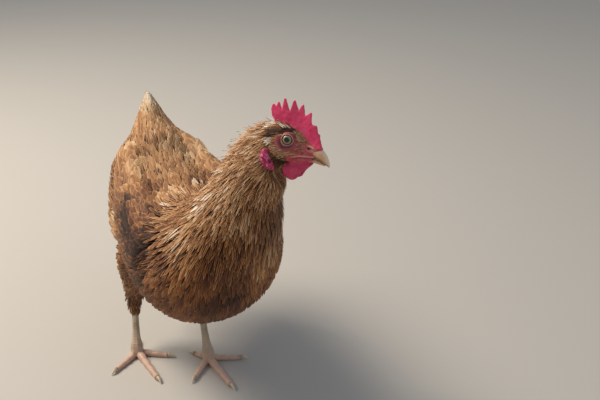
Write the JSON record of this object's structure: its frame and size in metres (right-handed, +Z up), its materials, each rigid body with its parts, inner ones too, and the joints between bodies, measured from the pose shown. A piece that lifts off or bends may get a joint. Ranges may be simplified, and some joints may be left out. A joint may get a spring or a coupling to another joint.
{
  "type": "chicken",
  "caption": "Life-size still model of a brown laying hen walking, head turned to her left, feathered, with single comb, wattles and scaled feet.",
  "frame": {"origin": "centre of the bounding box's underside, on the floor between the feet", "axes": "+X the way the body points, +Y the hen's left, +Z up"},
  "size_m": [0.4244, 0.192, 0.3904],
  "materials": {
    "plumage": "overlapping rust and golden brown feathers, cream tips on wing and tail",
    "comb_skin": "soft crimson skin with a fine grain",
    "face_skin": "bare red skin with sparse bristly feathers",
    "horn": "smooth horn, paler at the tips",
    "leg_scale": "scaled skin, satin",
    "iris": "glass-like eye, olive iris and black pupil"
  },
  "bodies": {
    "root": {"head": "face_skin", "neck_upper": "plumage", "neck_lower": "plumage", "trunk": "plumage", "tail": "plumage", "comb": "comb_skin", "beak_upper": "horn", "beak_lower": "horn", "eye_left": "iris", "earlobe_left": "comb_skin", "wattle_left": "comb_skin", "wing_left": "plumage", "thigh_left": "plumage", "shank_left": "leg_scale", "toe_inner_left": "leg_scale", "claw_inner_left": "horn", "toe_middle_left": "leg_scale", "claw_middle_left": "horn", "toe_outer_left": "leg_scale", "claw_outer_left": "horn", "toe_hallux_left": "leg_scale", "claw_hallux_left": "horn", "eye_right": "iris", "earlobe_right": "comb_skin", "wattle_right": "comb_skin", "wing_right": "plumage", "thigh_right": "plumage", "shank_right": "leg_scale", "toe_inner_right": "leg_scale", "claw_inner_right": "horn", "toe_middle_right": "leg_scale", "claw_middle_right": "horn", "toe_outer_right": "leg_scale", "claw_outer_right": "horn", "toe_hallux_right": "leg_scale", "claw_hallux_right": "horn"}
  },
  "joints": []
}
